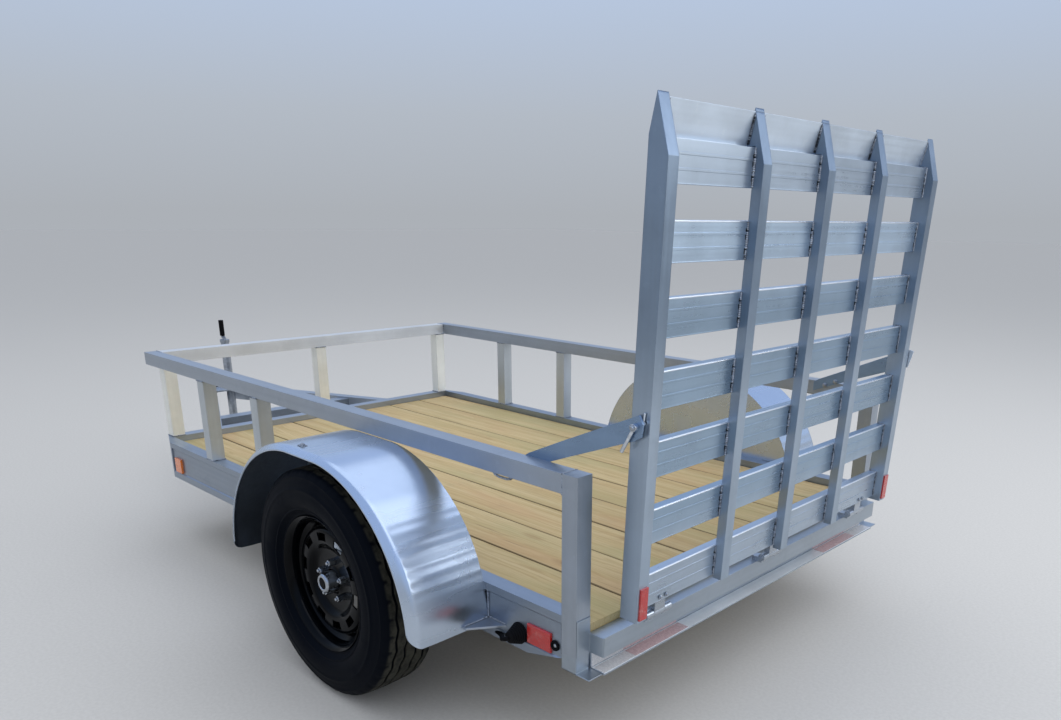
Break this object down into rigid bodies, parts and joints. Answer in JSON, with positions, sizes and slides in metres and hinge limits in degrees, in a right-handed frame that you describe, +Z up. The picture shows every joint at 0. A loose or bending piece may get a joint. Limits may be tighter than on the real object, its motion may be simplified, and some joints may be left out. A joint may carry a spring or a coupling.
{
  "type": "utility trailer",
  "caption": "Open utility trailer with tube rails, a lengthwise plank deck, rounded fenders and an upright ramp gate, parked on its tongue jack.",
  "frame": {"origin": "on the ground at the middle of the whole length and width", "axes": "+X forwards to the coupler, +Y to the left, +Z up"},
  "size_m": [3.932, 2.068, 1.6056],
  "materials": {
    "mill_aluminium": "mill finish",
    "polished_aluminium": "bright rolled sheet",
    "zinc_steel": "zinc plated",
    "black_steel": "gloss black",
    "tyre_rubber": "ribbed tread",
    "black_rubber": "moulded",
    "treated_pine": "sawn, weathered",
    "amber_lens": "prismatic lens",
    "red_lens": "prismatic lens"
  },
  "bodies": {
    "chassis": {"axle_seats": "zinc_steel", "axle_tube": "zinc_steel", "coupler": "black_steel", "coupler_latch": "zinc_steel", "cross_members": "mill_aluminium", "deck_boards": "treated_pine", "fender_brackets": "mill_aluminium", "fender_left": "polished_aluminium", "fender_right": "polished_aluminium", "front_posts": "mill_aluminium", "front_reflectors": "amber_lens", "front_sill": "mill_aluminium", "jack_crank": "zinc_steel", "jack_grip": "black_rubber", "jack_leg": "zinc_steel", "jack_tube": "zinc_steel", "latch_bar_left": "mill_aluminium", "latch_bar_right": "mill_aluminium", "latch_lever_left": "zinc_steel", "latch_lever_right": "zinc_steel", "rear_post_left": "mill_aluminium", "rear_post_right": "mill_aluminium", "rear_sill": "mill_aluminium", "side_markers": "red_lens", "side_posts_left": "mill_aluminium", "side_posts_right": "mill_aluminium", "side_rail_left": "mill_aluminium", "side_rail_right": "mill_aluminium", "sill_hinges": "mill_aluminium", "tongue_cross": "mill_aluminium", "tongue_tube_left": "mill_aluminium", "tongue_tube_right": "mill_aluminium", "top_rail_front": "mill_aluminium", "top_rail_left": "mill_aluminium", "top_rail_right": "mill_aluminium", "torsion_arm_left": "zinc_steel", "torsion_arm_right": "zinc_steel"},
    "gate": {"gate_hinges": "mill_aluminium", "gate_inner_uprights": "mill_aluminium", "gate_planks": "mill_aluminium", "gate_reflectors": "red_lens", "gate_top_plank": "mill_aluminium", "gate_upright_left": "mill_aluminium", "gate_upright_right": "mill_aluminium"},
    "wheel_left": {"tyre_left": "tyre_rubber", "rim_left": "black_steel", "hub_left": "zinc_steel"},
    "wheel_right": {"tyre_right": "tyre_rubber", "rim_right": "black_steel", "hub_right": "zinc_steel"}
  },
  "joints": [
    {"name": "gate_hinge", "type": "hinge", "parent": "chassis", "child": "gate", "pos_m": [-1.884, 0, 0.406], "axis": [0, -1, 0], "range_deg": [0, 106.5]},
    {"name": "wheel_left_spin", "type": "hinge", "parent": "chassis", "child": "wheel_left", "pos_m": [-1.002, 0.924, 0.344], "axis": [0, 1, 0], "continuous": true},
    {"name": "wheel_right_spin", "type": "hinge", "parent": "chassis", "child": "wheel_right", "pos_m": [-1.002, -0.924, 0.344], "axis": [0, 1, 0], "continuous": true}
  ]
}
